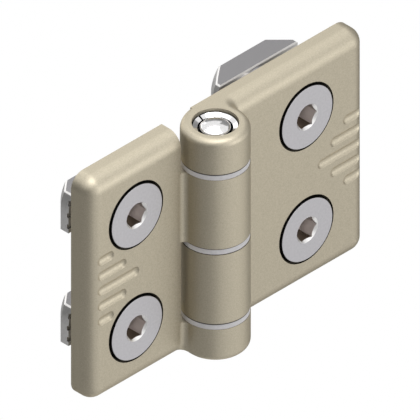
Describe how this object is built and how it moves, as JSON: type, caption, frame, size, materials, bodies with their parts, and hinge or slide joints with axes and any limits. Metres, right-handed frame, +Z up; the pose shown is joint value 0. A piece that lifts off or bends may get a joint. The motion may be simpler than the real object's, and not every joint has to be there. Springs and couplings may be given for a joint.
{
  "type": "leaf hinge",
  "caption": "Die-cast leaf hinge laid open flat, with interleaved knuckles on a pin, countersunk socket screws and hammer-head slot nuts for joining slotted profiles.",
  "frame": {"origin": "on the wide leaf's mounting face, midway between its two screws", "axes": "+Z up along the hinge pin, +Y out of the mounting faces into the profiles, so -Y is the front, and +X from the pin along the wide leaf"},
  "size_m": [0.0637, 0.0229, 0.044],
  "materials": {
    "champagne_paint": "satin textured powder coat on die-cast zinc",
    "screw_steel": "satin zinc-plated steel",
    "polished_steel": "polished steel",
    "grey_plastic": "smooth grey bearing plastic",
    "nut_zinc": "bright zinc-plated steel"
  },
  "bodies": {
    "wide_side": {"wide_leaf": "champagne_paint", "hinge_pin": "polished_steel", "slotted_sleeve_upper": "polished_steel", "slotted_sleeve_inner": "polished_steel", "screw_wide_upper": "screw_steel", "screw_wide_lower": "screw_steel", "nut_wide_upper": "nut_zinc", "nut_wide_lower": "nut_zinc"},
    "narrow_side": {"narrow_leaf": "champagne_paint", "bush_upper": "grey_plastic", "bush_middle": "grey_plastic", "bush_lower": "grey_plastic", "screw_narrow_upper": "screw_steel", "screw_narrow_lower": "screw_steel", "nut_narrow_upper": "nut_zinc", "nut_narrow_lower": "nut_zinc"}
  },
  "joints": [
    {"name": "hinge_turn", "type": "hinge", "parent": "wide_side", "child": "narrow_side", "pos_m": [-0.0223, -0.0058, 0], "axis": [0, 0, 1], "range_deg": [-80, 180]}
  ]
}
